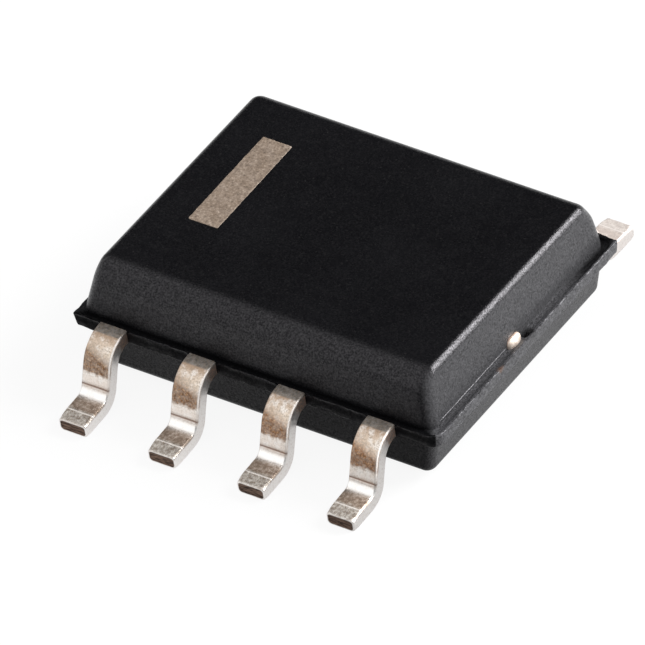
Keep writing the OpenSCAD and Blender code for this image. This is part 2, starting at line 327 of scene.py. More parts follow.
# The housing as one closed skin of laps, from the middle of its underside outwards, up
# the lower wall, round the flange, up the upper wall and in across the top
def makeMoulding():
    middle = (bodyLow + bodyHigh) / 2
    full = (bodyHigh - bodyLow)[:2] / 2
    base = full - (moulding["flangeEnd"], moulding["flangeSide"])
    lowerBase = (base[0], base[1], base[1])
    upperBase = (base[0], base[1] - moulding["frontStep"], base[1])
    flangeZ = frameTop - moulding["flangeThickness"]
    height = bodyHigh[2] - frameTop
    upper = blockRows(height, moulding["upperDraft"], upperBase,
                      (0.97, 0.9, 0.8, 0.65, 0.5, 0.35, 0.2, 0.08), moulding["edgeRadius"])
    lower = blockRows(flangeZ - bodyLow[2], moulding["lowerDraft"], lowerBase,
                      (0.97, 0.9, 0.75), moulding["lowerRadius"])
    topShare = np.clip(upper[0] / height, 0, 1)
    topShareOf = lambda level: np.clip((level - frameTop) / (height * 0.9), 0, 1)
    upper[0] += frameTop
    lower[0] = flangeZ - lower[0]
    # The flange's own profile: share of the overhang, height, wear of the torn rim, painted shade of
    # the unlit ledge
    profile = np.array([
        (0.30, flangeZ, 0.2, 0.2), (0.70, flangeZ, 0.5, 0.2), (0.84, flangeZ, 0.8, 0.3),
        (0.87, flangeZ + 0.006, 1.0, 0.7), (0.885, flangeZ + 0.02, 0.9, 0.9),
        (0.90, flangeZ + 0.04, 0.7, 0.9), (0.93, flangeZ + 0.08, 0.6, 1.0),
        (0.96, flangeZ + 0.12, 0.6, 1.0), (0.98, frameTop - 0.035, 0.8, 0.9),
        (0.99, frameTop - 0.02, 1.0, 0.7), (1.00, frameTop - 0.010, 1.0, 0.5),
        (0.98, frameTop - 0.002, 1.0, 0.4), (0.94, frameTop, 1.0, 0.5),
        (0.88, frameTop, 1.0, 0.6), (0.80, frameTop - 0.001, 0.9, 0.7),
        (0.70, frameTop - 0.002, 0.7, 0.7), (0.58, frameTop - 0.003, 0.5, 0.75),
        (0.45, frameTop - 0.004, 0.3, 0.8), (0.32, frameTop - 0.005, 0.2, 0.9),
        (0.20, frameTop - 0.006, 0.1, 1.0), (0.10, frameTop - 0.006, 0.0, 1.0),
        (0.0, frameTop - 0.006, 0.0, 1.0)])
    share, level, wear, paintedShade = profile.T
    overX, overY = share * moulding["flangeEnd"], share * moulding["flangeSide"]
    # On top the ledge reaches in to the front wall's foot
    onTop = np.arange(len(share)) >= 11
    toFoot = np.where(onTop, moulding["frontStep"] * (1 - share), 0)
    flange = np.stack([level, base[0] + overX, base[1] + overY - toFoot, base[1] + overY,
                       moulding["cornerRadius"] * (1 - share) + 0.015 * share])
    # The ejector mark: a shallow round recess, whose circle grows into the underside's outline
    r, depth = moulding["ejectorRadius"], moulding["ejectorDepth"]
    recess = np.array([(0.05, depth), (0.25, depth), (0.42, depth), (r - 0.012, depth),
                       (r - 0.004, depth * 0.7), (r, depth * 0.2), (r + 0.008, 0)])
    recess = np.stack([bodyLow[2] + recess[:, 1], *[recess[:, 0]] * 4])
    rows = np.hstack([recess, lower[:, ::-1], flange, upper])
    z, halfX, toFront, toBack, corner = rows
    before = recess.shape[1] + lower.shape[1]
    spread = lambda values, start: np.pad(values, (start, len(z) - start - len(values)))
    rim, dark, out = spread(wear, before), spread(paintedShade, before), spread(share, before)
    tilt = spread(topShare, before + len(share))
    ends = np.linspace(-1, 1, 150)
    template = lapTemplate(ends, np.linspace(-1, 1, 170), 9)
    x, front = lapPoints(template, halfX, toFront, corner)
    x, back = lapPoints(template, halfX, toBack, corner)
    ax, ay, nx, ny = template
    y = np.where(ay < 0, front, back)
    columns = x.shape[1]
    zed = np.repeat(z[:, None], columns, axis=1)
    right = np.clip(nx, 0, 1) ** 2 * np.ones_like(x)
    # Right end: its ledge sinks towards the back corner and has a chipped pit
    ledgeRows = np.abs(np.arange(len(z)) - before - len(share) / 2) <= len(share) / 2
    inner = (1 - smoothStep(out, 0.35, 0.85))[:, None] * ledgeRows[:, None]
    sunk = 0.026 + 0.065 * smoothStep(y, 0.9, 1.85)
    place, half = moulding["pitPlace"]
    pit = moulding["pitDepth"] * np.exp(-((y - place) / half) ** 4)
    topSide = (np.arange(len(z)) >= before + 11)[:, None]
    zed = zed - right * inner * topSide * (sunk + pit)
    # The left wall leans more: its foot stands out, its top stays
    lowShare = np.where(z >= frameTop, 1 - topShareOf(z), 0) * (out == 0)
    lowShare = lowShare + spread(np.where(onTop, 1 - share, 0), before)
    leftward = smoothStep(-x, 0.3, 2.2) * lowShare[:, None]
    x = x - moulding["leftStep"] * leftward
    # The flange is open where the leads come out
    shanks = [cadBoxOf("lead_%d" % k) for k in (1, 2, 3, 4)]
    shanks = [shanks[0][0][0] + moulding["leadHalf"], (shanks[1][0][0] + shanks[1][1][0]) / 2,
              (shanks[2][0][0] + shanks[2][1][0]) / 2, shanks[3][1][0] - moulding["leadHalf"]]
    away = np.min([np.abs(x + middle[0] - shank) for shank in shanks], axis=0)
    half = moulding["leadHalf"]
    opening = (1 - smoothStep(away, half - 0.002, half + 0.03)) * (np.abs(ny) > 0.7)
    cover = 0.008 - (moulding["openingDepth"] + 0.008) * smoothStep(out, 0.82, 0.90)
    zed = zed + opening * topSide * (cover * ledgeRows)[:, None]
    # Witness line: a fine bead along the foot of the wall, in front of the tie bar
    foot = np.exp(-((zed - frameTop - 0.010) / 0.0045) ** 2)
    stretch = smoothStep(y, -1.75, -1.65) * (1 - smoothStep(y, -0.30, -0.22))
    bead = moulding["beadHeight"] * foot * stretch * right
    bead = bead * (np.arange(len(z)) >= before + len(share))[:, None]
    x = x + nx * bead
    # The back right corner is fuller than its drafts make it
    swell = tilt * (1 - smoothStep(tilt, 0.55, 1.0)) * 4
    near = np.exp(-((x - base[0]) ** 2 + (y - base[1]) ** 2) / 0.35 ** 2)
    x = x + 0.012 * swell[:, None] * near
    y = y + 0.022 * swell[:, None] * near
    x = x + moulding["topSkew"] * y * tilt[:, None]
    # The flange's front right corner is worn round
    gone = np.hypot(x - full[0], y + full[1]) / moulding["wornCorner"]
    gone = moulding["wornCorner"] * 0.55 * np.exp(-gone ** 2) * smoothStep(out, 0.3, 0.8)[:, None]
    x = x - gone
    y = y + gone
    # Torn rim: the flange moves in and out and up and down along the lap
    edgeRow = before + 9
    step = np.hypot(np.diff(x[edgeRow], append=x[edgeRow, :1]), np.diff(y[edgeRow], append=y[edgeRow, :1]))
    lap = np.concatenate([[0], np.cumsum(step)[:-1]])
    length = step.sum()
    rowLevel = np.arange(len(z))[:, None] * np.ones(columns)
    torn, lift = np.zeros_like(x), np.zeros_like(x)
    for cell, part, seed in ((0.30, 0.35, 1), (0.11, 0.40, 2), (0.05, 0.45, 3)):
        cells = int(length / cell)
        u = np.ones(len(z))[:, None] * lap * cells / length
        torn += part * roughField(u, rowLevel / 2.5, cells, moulding["seed"] + seed)
        lift += part * roughField(u, rowLevel / 2.5 + 3, cells, moulding["seed"] + seed + 10)
    whole = rim[:, None] * (1 - opening) * moulding["rimRoughness"]
    push = whole * (torn - 0.5)
    x = x + nx * push
    y = y + ny * push
    zed = zed + whole * 0.6 * lift
    points = np.stack([x + middle[0], y + middle[1], zed], axis=-1).reshape(-1, 3)
    poles = np.array([(middle[0], middle[1], z[0]), (middle[0], middle[1], z[-1])])
    piece = makeMesh("mouldedHousing", np.vstack([points, poles]), *shellFaces(*x.shape),
                     sharpAngle=50)
    # Where the rim is torn and pale, with painted light on the end rims and ledges; painted shade on
    # the unlit ledges, wall feet, lower walls and pit; and the matt ends, painted a lighter grey as
    # painted light
    ending = nx ** 2 * np.ones_like(x)
    below = (z < flangeZ)[:, None]
    # The torn rim is pale, and far paler on the ends, where the ledges are also lighter towards the front:
    # painted light
    paleRimAndPaintedLight = rim[:, None] * (0.05 * (1 - ending) + 0.85 * ending)
    paleRimAndPaintedLight = paleRimAndPaintedLight + 0.5 * ending * inner * topSide * (1 - smoothStep(y, 0.2, 1.7))
    pitShare = right * pit / moulding["pitDepth"]
    paleRimAndPaintedLight = paleRimAndPaintedLight * (1 - pitShare)
    # Painted shade: the front and back ledges, the lower walls, the back of the right ledge, the pit, the
    # left ledge and the front wall's foot
    shade = dark[:, None] * (1 - ending)
    shade = shade + ending * inner * topSide * smoothStep(y, 0.8, 1.75) * 1.2
    shade = shade + inner * topSide * pitShare
    shade = shade + (0.56 + 0.24 * smoothStep(x, -1.2, 1.0)) * (1 - ending) * below
    shade = shade + 0.8 * np.clip(-nx, 0, 1) ** 2 * topSide * ledgeRows[:, None]
    # Painted shade on the front wall, darkest at its foot
    footShade = 0.65 - 0.40 * smoothStep(z - frameTop, 0, 0.42)
    footShade = footShade - 0.25 * smoothStep(z - frameTop, 0, 0.12)
    shade = shade + (1 - ending) * (footShade * (z >= frameTop))[:, None] * (ny < 0)
    # End walls painted a lighter grainy grey below their top edge, less on the lower walls: painted light
    # with the grain
    aboveWall = smoothStep(z, frameTop + height - 0.10, frameTop + height - 0.02)[:, None]
    matt = smoothStep(np.abs(nx), 0.35, 0.85) * np.ones_like(x)
    matt = matt * (1 - aboveWall) * (1 - 0.4 * below)
    for name, field in (("rim", paleRimAndPaintedLight), ("paintedShade", shade), ("matt", matt)):
        layer = piece.data.attributes.new(name, "FLOAT", "POINT")
        values = np.append(np.clip(field, 0, 1).ravel(), (0, 0))
        layer.data.foreach_set("value", values.astype(np.float32))
    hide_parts("moulded_body")
    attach(piece, "root")
    return piece


# Epoxy moulding compound, transfer moulded: near black with a satin skin, in which fine
# silica grains glitter where an edge turns to the light; its torn rim is pale and rough.
# Painted light makes the end rims, end ledges and end walls paler; painted shade makes the
# unlit ledges, wall feet, lower walls and the pit near black and dull
def epoxyMoulding():
    material, tree, shader = newMaterial("epoxy moulding compound")
    place = addNode(tree, "ShaderNodeTexCoord").outputs["Object"]
    grain = addNoise(tree, place, 0.022, 3, 0.65)
    coarse = addNoise(tree, place, 0.16, 3, 0.5)
    cloud = addNoise(tree, place, 1.2, 2, 0.5)
    rim = addNode(tree, "ShaderNodeAttribute", attribute_name="rim").outputs["Fac"]
    paintedShade = addNode(tree, "ShaderNodeAttribute", attribute_name="paintedShade").outputs["Fac"]
    matt = addNode(tree, "ShaderNodeAttribute", attribute_name="matt").outputs["Fac"]
    body = mixColour(tree, addRamp(tree, cloud, ((0.35, 0.0), (0.65, 1.0))),
                     hexColour("#08080a"), hexColour("#0c0c0e"))
    # Lighter grainy grey on the end walls: painted light
    sandyLitGrey = addRamp(tree, grain, ((0.38, hexColour("#29292a")), (0.62, hexColour("#3e3e40"))))
    body = mixColour(tree, matt, body, sandyLitGrey)
    fleck = addRamp(tree, grain, ((0.62, 0.0), (0.76, 1.0)))
    body = mixColour(tree, addMath(tree, "MULTIPLY", fleck, 0.3), body, hexColour("#4c4a48"))
    # Pale torn flecks, with painted light: paler on the end rims and ledges
    tornAndLitFleck = addMath(tree, "MULTIPLY", addRamp(tree, grain, ((0.44, 0.08), (0.60, 0.85))), rim)
    body = mixColour(tree, tornAndLitFleck, body, hexColour("#58585b"))
    # Painted shade: where the ledges, wall feet and lower walls lie in the dark, the colour turns near
    # black
    body = mixColour(tree, addMath(tree, "MULTIPLY", paintedShade, 0.7), body, hexColour("#070708"))
    # A brown spot on the right rim
    spot = addNode(tree, "ShaderNodeVectorMath", links={"Vector": place}, operation="DISTANCE")
    spot.inputs[1].default_value = tuple(value * mm for value in moulding["spotPlace"])
    reach = addMath(tree, "MULTIPLY", spot.outputs["Value"], 1 / (0.12 * mm))
    reach = addMath(tree, "ADD", reach, addMath(tree, "MULTIPLY", grain, 0.5))
    body = mixColour(tree, addRamp(tree, reach, ((0.45, 0.7), (0.85, 0.0))), body,
                     hexColour("#553c2a"))
    tree.links.new(body, shader.inputs["Base Color"])
    rough = addRamp(tree, coarse, ((0.3, 0.26), (0.7, 0.30)))
    rough = addMath(tree, "ADD", rough, addMath(tree, "MULTIPLY", rim, 0.20))
    tree.links.new(rough, shader.inputs["Roughness"])
    # Painted shade also dulls the shine
    shine = addMath(tree, "SUBTRACT", 0.30, addMath(tree, "MULTIPLY", paintedShade, 0.28))
    glitter = addRamp(tree, grain, ((0.38, 0.4), (0.62, 1.6)))
    tree.links.new(addMath(tree, "MULTIPLY", shine, glitter), shader.inputs["Specular IOR Level"])
    setSockets(shader, {"IOR": 1.55, "Specular Tint": (0.98, 0.95, 1.0, 1.0)})
    fine = addNode(tree, "ShaderNodeBump", {"Strength": 0.8, "Distance": 0.0045 * mm},
                   {"Height": grain})
    broad = addNode(tree, "ShaderNodeBump", {"Strength": 0.3, "Distance": 0.006 * mm},
                    {"Height": coarse, "Normal": fine.outputs["Normal"]})
    tree.links.new(broad.outputs["Normal"], shader.inputs["Normal"])
    return material


housing = makeMoulding()
housing.data.materials.append(epoxyMoulding())
print("moulding done:", len(housing.data.polygons), "faces")


# ---- orientation bar ----

bar = {
    "edgeRadius": 0.006,
    "height": 0.004,       # stands this far over the moulding
    "waver": 0.003,        # unevenness of its outline
    "seed": 5,
}


# A thin slab: laps of a rounded rectangle, sunk a little at the foot, rounded over the
# edge and closed across the top; the outline wavers by smooth noise
def makeBar():
    low, high = cadBoxOf("pin_1_mark")
    middle, half = (low + high) / 2, (high - low) / 2
    top = low[2] + bar["height"]
    inset = np.array([0.05, 0.0, 0.0, 0.002, 0.006, 0.02, 0.06, 0.12, 0.18])
    z = np.array([low[2] - 0.004, low[2] - 0.004, low[2], top - 0.001, top, top, top, top, top])
    corner = np.clip(0.018 - inset, 0.002, None)
    template = lapTemplate(np.linspace(-1, 1, 110), np.linspace(-1, 1, 30), 5)
    x, y = lapPoints(template, half[0] - inset, half[1] - inset, corner)
    ax, ay, nx, ny = template
    columns = x.shape[1]
    u = np.ones(len(z))[:, None] * np.arange(columns) / 2.5
    cells = int(columns / 2.5)
    waver = roughField(u, np.zeros_like(u), cells, bar["seed"]) * bar["waver"]
    fade = np.clip(1 - inset / 0.06, 0, 1)[:, None]
    x = x + nx * waver * fade
    y = y + ny * waver * fade
    points = np.stack([x + middle[0], y + middle[1], np.repeat(z[:, None], columns, 1)],
                      axis=-1).reshape(-1, 3)
    poles = np.array([(middle[0], middle[1], z[0]), (middle[0], middle[1], z[-1])])
    piece = makeMesh("orientationBar", np.vstack([points, poles]), *shellFaces(*x.shape),
                     sharpAngle=50)
    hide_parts("pin_1_mark")
    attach(piece, "root")
    return piece


# Laser-cut mark in filled epoxy: the burnt skin shows pale filler grains, so it is a
# speckled champagne colour without gloss
def markInk():
    material, tree, shader = newMaterial("laser-etched filler")
    place = addNode(tree, "ShaderNodeTexCoord").outputs["Object"]
    grain = addNoise(tree, place, 0.030, 3, 0.65)
    patch = addNoise(tree, place, 0.14, 2, 0.5)
    colour = addRamp(tree, grain, ((0.30, hexColour("#4f443b")), (0.46, hexColour("#74665a")),
                                   (0.58, hexColour("#827467")), (0.74, hexColour("#a6998e"))))
    tint = addRamp(tree, patch, ((0.3, hexColour("#d9cfc2")), (0.7, hexColour("#ffffff"))))
    colour = mixColour(tree, 0.6, colour, tint, "MULTIPLY")
    tree.links.new(colour, shader.inputs["Base Color"])
    setSockets(shader, {"Roughness": 0.65, "IOR": 1.5})
    bump = addNode(tree, "ShaderNodeBump", {"Strength": 0.5, "Distance": 0.004 * mm},
                   {"Height": grain})
    tree.links.new(bump.outputs["Normal"], shader.inputs["Normal"])
    return material


orientationBar = makeBar()
orientationBar.data.materials.append(markInk())
print("orientation bar done")


# ---- leads ----

strip = {
    "width": 0.39,
    "thickness": 0.20,
    "headLength": 0.40,    # wide finger head inside the moulding
    "shoulderRadius": 0.20,
    "footRadius": 0.12,
    "lean": 18.0,
    "footLength": 0.405,
    "footTilt": 2.5,       # the foot runs down towards the toe
    "edgeRadius": 0.030,
    "toeRadius": 0.016,
    "coinLength": 0.19,
    "coinDrop": 0.020,
    "ridge": 0.004,        # burr where the coined end starts
    "creaseDepth": 0.007,
    "creaseWidth": 0.010,
    "creaseFromBend": 0.045,
    "knocked": {5: 0.14},  # this foot has been pushed along the row
    "seed": 3,
}


# Heading of the strip along its path: level, turning down round the shoulder, straight
# down the leg, turning back round the foot, and on along the foot
def leadPath(reach, drop):
    t = strip["thickness"]
    lean, tilt = math.radians(strip["lean"]), math.radians(strip["footTilt"])
    turnOne, turnTwo = math.pi / 2 - lean, math.pi / 2 - lean - tilt
    r1, r2 = strip["shoulderRadius"] + t / 2, strip["footRadius"] + t / 2
    arcDrop = r1 * (1 - math.cos(turnOne)) + r2 * (math.cos(tilt) - math.cos(turnOne))
    footDrop = strip["footLength"] * math.sin(tilt)
    leg = (drop - arcDrop - footDrop) / math.sin(turnOne)
    arcRun = r1 * math.sin(turnOne) + r2 * (math.sin(turnOne) - math.sin(tilt))
    level = reach - arcRun - leg * math.cos(turnOne) - strip["footLength"] * math.cos(tilt)
    lengths = np.array([level, r1 * turnOne, leg, r2 * turnTwo, strip["footLength"]])
    ends = np.cumsum(lengths)
    head = strip["headLength"]
    s = np.concatenate([
        [0, 0.01], np.linspace(0.05, head - 0.002, 5), np.linspace(head + 0.002, level, 24)[:-1],
        np.linspace(level, ends[1], 44)[:-1], np.linspace(ends[1], ends[2], 50)[:-1],
        np.linspace(ends[2], ends[3], 40)[:-1], np.linspace(ends[3], ends[4], 70)])
    turned = np.interp(s, [0, ends[0], ends[1], ends[2], ends[3], ends[4]],
                       [0, 0, -turnOne, -turnOne, -tilt, -tilt])
    # Each step goes along the mean heading; a bend's chord is shorter than its arc
    step, bend = np.diff(s), np.diff(turned)
    chord = step * np.sinc(bend / 2 / math.pi)
    mean = (turned[1:] + turned[:-1]) / 2
    out = np.concatenate([[0], np.cumsum(chord * np.cos(mean))])
    up = np.concatenate([[0], np.cumsum(chord * np.sin(mean))])
    return s, out, up, turned, ends


# A strip of rounded rectangular section carried along the path, with a wide head at the
# inner end, a coined and sheared toe, and a crease pressed in above the foot
def makeLead(index):
    low, high = cadBoxOf("lead_%d" % index)
    side = -1 if index <= 4 else 1
    inner = min(abs(low[1]), abs(high[1]))
    outer = max(abs(low[1]), abs(high[1]))
    t, w = strip["thickness"], strip["width"]
    s, out, up, turned, ends = leadPath(outer - inner, high[2] - t / 2 - t / 2)
    total = ends[-1]
    rows = len(s)
    headHalf = (high[0] - low[0]) / 2
    isHead = s < strip["headLength"]
    halfW = np.where(isHead, headHalf, w / 2)
    # The shank sits at one side of the outer fingers' heads
    number = index - 1 if index <= 4 else 8 - index
    shank = {0: low[0] + w / 2, 3: high[0] - w / 2}.get(number, (low[0] + high[0]) / 2)
    centre = np.where(isHead, (low[0] + high[0]) / 2, shank)
    halfT = np.full(rows, t / 2)
    # Rounded toe: rows pull in along a quarter circle, then close over the sheared face
    angle = np.radians([25, 50, 70, 90])
    toe = strip["toeRadius"]
    pull = np.concatenate([toe * (1 - np.cos(angle)), [toe + 0.008, toe + 0.016, toe + 0.03, 0.065]])
    forth = np.concatenate([toe * np.sin(angle), [toe, toe - 0.003, toe - 0.004, toe - 0.004]])
    s = np.concatenate([s * (total - toe) / total, total - toe + forth])
    extra = len(pull)
    last = lambda values: np.concatenate([values, np.full(extra, values[-1])])
    scale = (total - toe) / total
    direction = np.array([math.cos(turned[-1]), math.sin(turned[-1])])
    out = np.concatenate([out, out[-1] + (forth - toe) * direction[0]])
    up = np.concatenate([up, up[-1] + (forth - toe) * direction[1]])
    out[:rows] -= np.clip((s[:rows] / scale - ends[3]) / strip["footLength"], 0, 1) * toe * direction[0]
    up[:rows] -= np.clip((s[:rows] / scale - ends[3]) / strip["footLength"], 0, 1) * toe * direction[1]
    turned, halfW, halfT, centre = last(turned), last(halfW), last(halfT), last(centre)
    inset = np.concatenate([np.zeros(rows), pull])
    inset[0] = 0.01
    corner = strip["edgeRadius"] + 0.025 * smoothStep(s, total - 0.12, total)
    corner = np.clip(corner - inset * 0.6, 0.004, None)
    template = lapTemplate(np.linspace(-1, 1, 9), np.linspace(-1, 1, 17), 5)
    a, b = lapPoints(template, halfW - inset, halfT - inset, corner)
    ax, ay, nx, ny = template
    along = s[:, None] * np.ones(a.shape[1])
    onTop = smoothStep(b, 0.0, t / 2)
    # Coined toe end with a fine ridge where it starts
    coinStart = total - strip["coinLength"]
    coined = np.clip((along - coinStart) / strip["coinLength"], 0, 1) * strip["coinDrop"]
    ridge = strip["ridge"] * np.exp(-((along - coinStart) / 0.008) ** 2)
    # Pressed crease above the foot, fading before the edges
    creaseAt = ends[2] - strip["creaseFromBend"]
    fade = 1 - smoothStep(np.abs(a) / (w / 2), 0.75, 1.0)
    crease = strip["creaseDepth"] * np.exp(-((along - creaseAt) / strip["creaseWidth"]) ** 2) * fade
    b = b - onTop * (coined - ridge + crease)
    # The outer side of a bend draws in and the inner side spreads
    bent = np.exp(-((along - (ends[0] + ends[1]) / 2) / 0.16) ** 2)
    a = a * (1 - 0.025 * bent * b / (t / 2))
    normal = np.stack([-np.sin(turned), np.cos(turned)])
    y = out[:, None] + normal[0][:, None] * b + inner
    z = up[:, None] + normal[1][:, None] * b + high[2] - t / 2
    pushed = strip["knocked"].get(index, 0) * smoothStep(along, ends[0], ends[3])
    x = a + centre[:, None] + pushed
    # Small dents of the trimmed strip
    cells = 40
    dent = roughField(np.ones(len(s))[:, None] * np.linspace(0, cells, a.shape[1], endpoint=False),
                      along / 0.06, cells, strip["seed"] + index) * 0.0012
    x = x + nx * dent
    z = np.maximum(z + normal[1][:, None] * ny * dent, 0)
    y = y * side
    columns = x.shape[1]
    points = np.stack([x, y, z], axis=-1).reshape(-1, 3)
    poles = np.array([np.stack([x[k].mean(), y[k].mean(), z[k].mean()]) for k in (0, -1)])
    quads, triangles = shellFaces(*x.shape)
    piece = makeMesh("lead%d" % index, np.vstack([points, poles]), quads, triangles, sharpAngle=60)
    # Distance along the strip and round its section, for the finish
    lap = (np.arange(columns) + 0.0) / columns
    u = np.append((along / (total * 1.05)).ravel(), (0, 1))
    v = np.append(np.tile(lap, len(s)), (0.5, 0.5))
    layer = piece.data.uv_layers.new(name="strip")
    corners = np.empty(len(piece.data.loops), dtype=np.int32)
    piece.data.loops.foreach_get("vertex_index", corners)
    pair = np.stack([u[corners], v[corners]], axis=-1)
    # The last column of each row wraps to 1 instead of 0
    starts = np.empty(len(piece.data.polygons), dtype=np.int32)
    counts = np.empty(len(piece.data.polygons), dtype=np.int32)
    piece.data.polygons.foreach_get("loop_start", starts)
    piece.data.polygons.foreach_get("loop_total", counts)
    face = np.repeat(np.arange(len(counts)), counts)
    highest = np.maximum.reduceat(pair[:, 1], starts)
    pair[:, 1] += (highest[face] - pair[:, 1] > 0.5)
    layer.data.foreach_set("uv", pair.astype(np.float32).ravel())
    # Share of the section's height, and the sheared end face
    cutFace = np.repeat((np.arange(len(s)) > rows + 3)[:, None], columns, axis=1)
    onBend = smoothStep(along, ends[0], ends[0] + 0.12) * (1 - smoothStep(along, ends[1], ends[2]))
    # Painted highlight: a white line along the top right edge of the bends
    paintedEdgeHighlight = np.clip(2 * np.clip(nx, 0, 1) * np.clip(ny, 0, 1), 0, 1) ** 3 * onBend
    for name, field in (("outerFace", np.clip(b / (t / 2), -1, 1)), ("sheared", cutFace),
                        ("paintedEdgeHighlight", paintedEdgeHighlight), ("across", np.clip(a / (w / 2), -1, 1))):
        point = piece.data.attributes.new(name, "FLOAT", "POINT")
        value = np.append(field.ravel(), (0, float(name == "sheared")))
        point.data.foreach_set("value", value.astype(np.float32))
    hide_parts("lead_%d" % index)
    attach(piece, "root")
    return piece, total * 1.05, ends, coinStart


# Matt tin plate over stamped copper strip: satin silver-cream on the bends, grey and
# rough where the shoulder and the foot were clamped, a scorched brown band on the outside
# of the bend, and a bare brown face where the toe was sheared
def tinPlating(length, ends, coinStart):
    material, tree, shader = newMaterial("matt tin plate")
    place = addNode(tree, "ShaderNodeTexCoord").outputs["Object"]
    strips = addNode(tree, "ShaderNodeUVMap", uv_map="strip").outputs["UV"]
    along = addNode(tree, "ShaderNodeSeparateXYZ", links={"Vector": strips}).outputs["X"]
    row = addNode(tree, "ShaderNodeSeparateXYZ", links={"Vector": place}).outputs["X"]
    face = addNode(tree, "ShaderNodeAttribute", attribute_name="outerFace").outputs["Fac"]
    sheared = addNode(tree, "ShaderNodeAttribute", attribute_name="sheared").outputs["Fac"]
    paintedEdgeHighlight = addNode(tree, "ShaderNodeAttribute", attribute_name="paintedEdgeHighlight").outputs["Fac"]
    patch = addNoise(tree, place, 0.09, 3, 0.6)
    fine = addNoise(tree, place, 0.022, 3, 0.6)
    grit = addNoise(tree, place, 0.045, 2, 0.6)
    # The bands' edges wander by a few hundredths of a millimetre
    wander = addMath(tree, "MULTIPLY", addMath(tree, "SUBTRACT", patch, 0.5), 0.07 / length)
    s = addMath(tree, "ADD", along, wander)
    at = lambda value: value / length
    onTop = addRamp(tree, face, ((0.55, 0.0), (0.85, 1.0)))
    white, cream = hexColour("#fffefc"), hexColour("#eaddcd")
    dull, umber = hexColour("#dad4cc"), hexColour("#c7b5a6")
    # The bands are the tin's colours along the strip; the white over the foot bend is a painted highlight
    bands = addRamp(tree, s, (
        (at(ends[0] + 0.08), hexColour("#bda38d")), (at(ends[0] + 0.24), cream),
        (at(ends[1] + 0.10), hexColour("#f3eae1")), (at(ends[2] - 0.04), hexColour("#efe4db")),
        (at(ends[2] + 0.06), white), (at(ends[3] - 0.12), white),
        (at(ends[3] + 0.02), umber), (at(coinStart - 0.05), umber), (at(coinStart), dull)))
    clamped = addRamp(tree, along, ((at(ends[0] + 0.065), 1.0), (at(ends[0] + 0.08), 0.0)))
    stretched = addNode(tree, "ShaderNodeMapping", {"Scale": (6.0, 60.0, 1.0)},
                        {"Vector": strips})
    brush = addNode(tree, "ShaderNodeTexNoise", {"Scale": 6.0, "Detail": 3.0},
                    {"Vector": stretched.outputs["Vector"]}).outputs["Fac"]
    streaky = addMath(tree, "MULTIPLY", addMath(tree, "ADD", brush, grit), 0.5)
    worn = addRamp(tree, streaky, ((0.40, hexColour("#6c6660")), (0.60, hexColour("#a49e98"))))
    colour = mixColour(tree, clamped, bands, worn)
    # The stain starts lower on the right
    across = addNode(tree, "ShaderNodeAttribute", attribute_name="across").outputs["Fac"]
    aslant = addMath(tree, "SUBTRACT", s, addMath(tree, "MULTIPLY", across, 0.06 / length))
    stain = addMath(tree, "MULTIPLY",
                    addRamp(tree, aslant, ((at(ends[0] + 0.17), 0.0), (at(ends[0] + 0.32), 1.0))),
                    addRamp(tree, s, ((at(ends[1] + 0.10), 1.0), (at(ends[1] + 0.14), 0.0))))
    blotch = addRamp(tree, grit, ((0.30, 1.0), (0.66, 0.72)))
    golden = addRamp(tree, addMath(tree, "ADD", addMath(tree, "MULTIPLY", row, 250.0), 0.5),
                     ((0.2, hexColour("#7a583d")), (0.8, hexColour("#8b5b31"))))
    golden = mixColour(tree, addRamp(tree, fine, ((0.40, 0.6), (0.54, 0.0))), golden,
                       hexColour("#472f1e"))
    golden = mixColour(tree, addRamp(tree, fine, ((0.54, 0.0), (0.66, 0.5))), golden,
                       hexColour("#d9b084"))
    colour = mixColour(tree, addMath(tree, "MULTIPLY", stain, blotch), colour, golden)
    # Mottled foot: brown blots and bare glints
    footPart = addRamp(tree, s, ((at(ends[3] - 0.02), 0.0), (at(ends[3] + 0.05), 1.0)))
    blots = addMath(tree, "MULTIPLY", addRamp(tree, streaky, ((0.40, 0.75), (0.54, 0.0))),
                    footPart)
    colour = mixColour(tree, blots, colour, hexColour("#6b5545"))
    glints = addMath(tree, "MULTIPLY", addRamp(tree, streaky, ((0.54, 0.0), (0.64, 0.6))),
                     footPart)
    colour = mixColour(tree, glints, colour, hexColour("#f4eee8"))
    silvery = addRamp(tree, patch, ((0.46, 0.0), (0.60, 0.6)))
    plain = addMath(tree, "MULTIPLY", addMath(tree, "SUBTRACT", 1.0, footPart),
                    addMath(tree, "SUBTRACT", 1.0, clamped))
    silvery = addMath(tree, "MULTIPLY", silvery, plain)
    colour = mixColour(tree, addMath(tree, "MULTIPLY", silvery,
                                     addMath(tree, "SUBTRACT", 1.0, stain)),
                       colour, hexColour("#fbf7f3"))
    # Fewer dark specks on the leg and the foot bend, under the painted highlight
    speck = addRamp(tree, fine, ((0.36, 0.7), (0.52, 0.0)))
    bright = addRamp(tree, s, ((at(ends[1] + 0.12), 0.0), (at(ends[1] + 0.16), 0.6),
                               (at(ends[2]), 0.6), (at(ends[2] + 0.04), 0.85),
                               (at(ends[3] - 0.08), 0.85), (at(ends[3] - 0.02), 0.0)))
    speck = addMath(tree, "MULTIPLY", speck, addMath(tree, "SUBTRACT", 1.0, bright))
    speck = addMath(tree, "MULTIPLY", speck,
                    addMath(tree, "SUBTRACT", 1.0, addMath(tree, "MULTIPLY", stain, 0.75)))
    colour = mixColour(tree, speck, colour, hexColour("#a08e7c"))
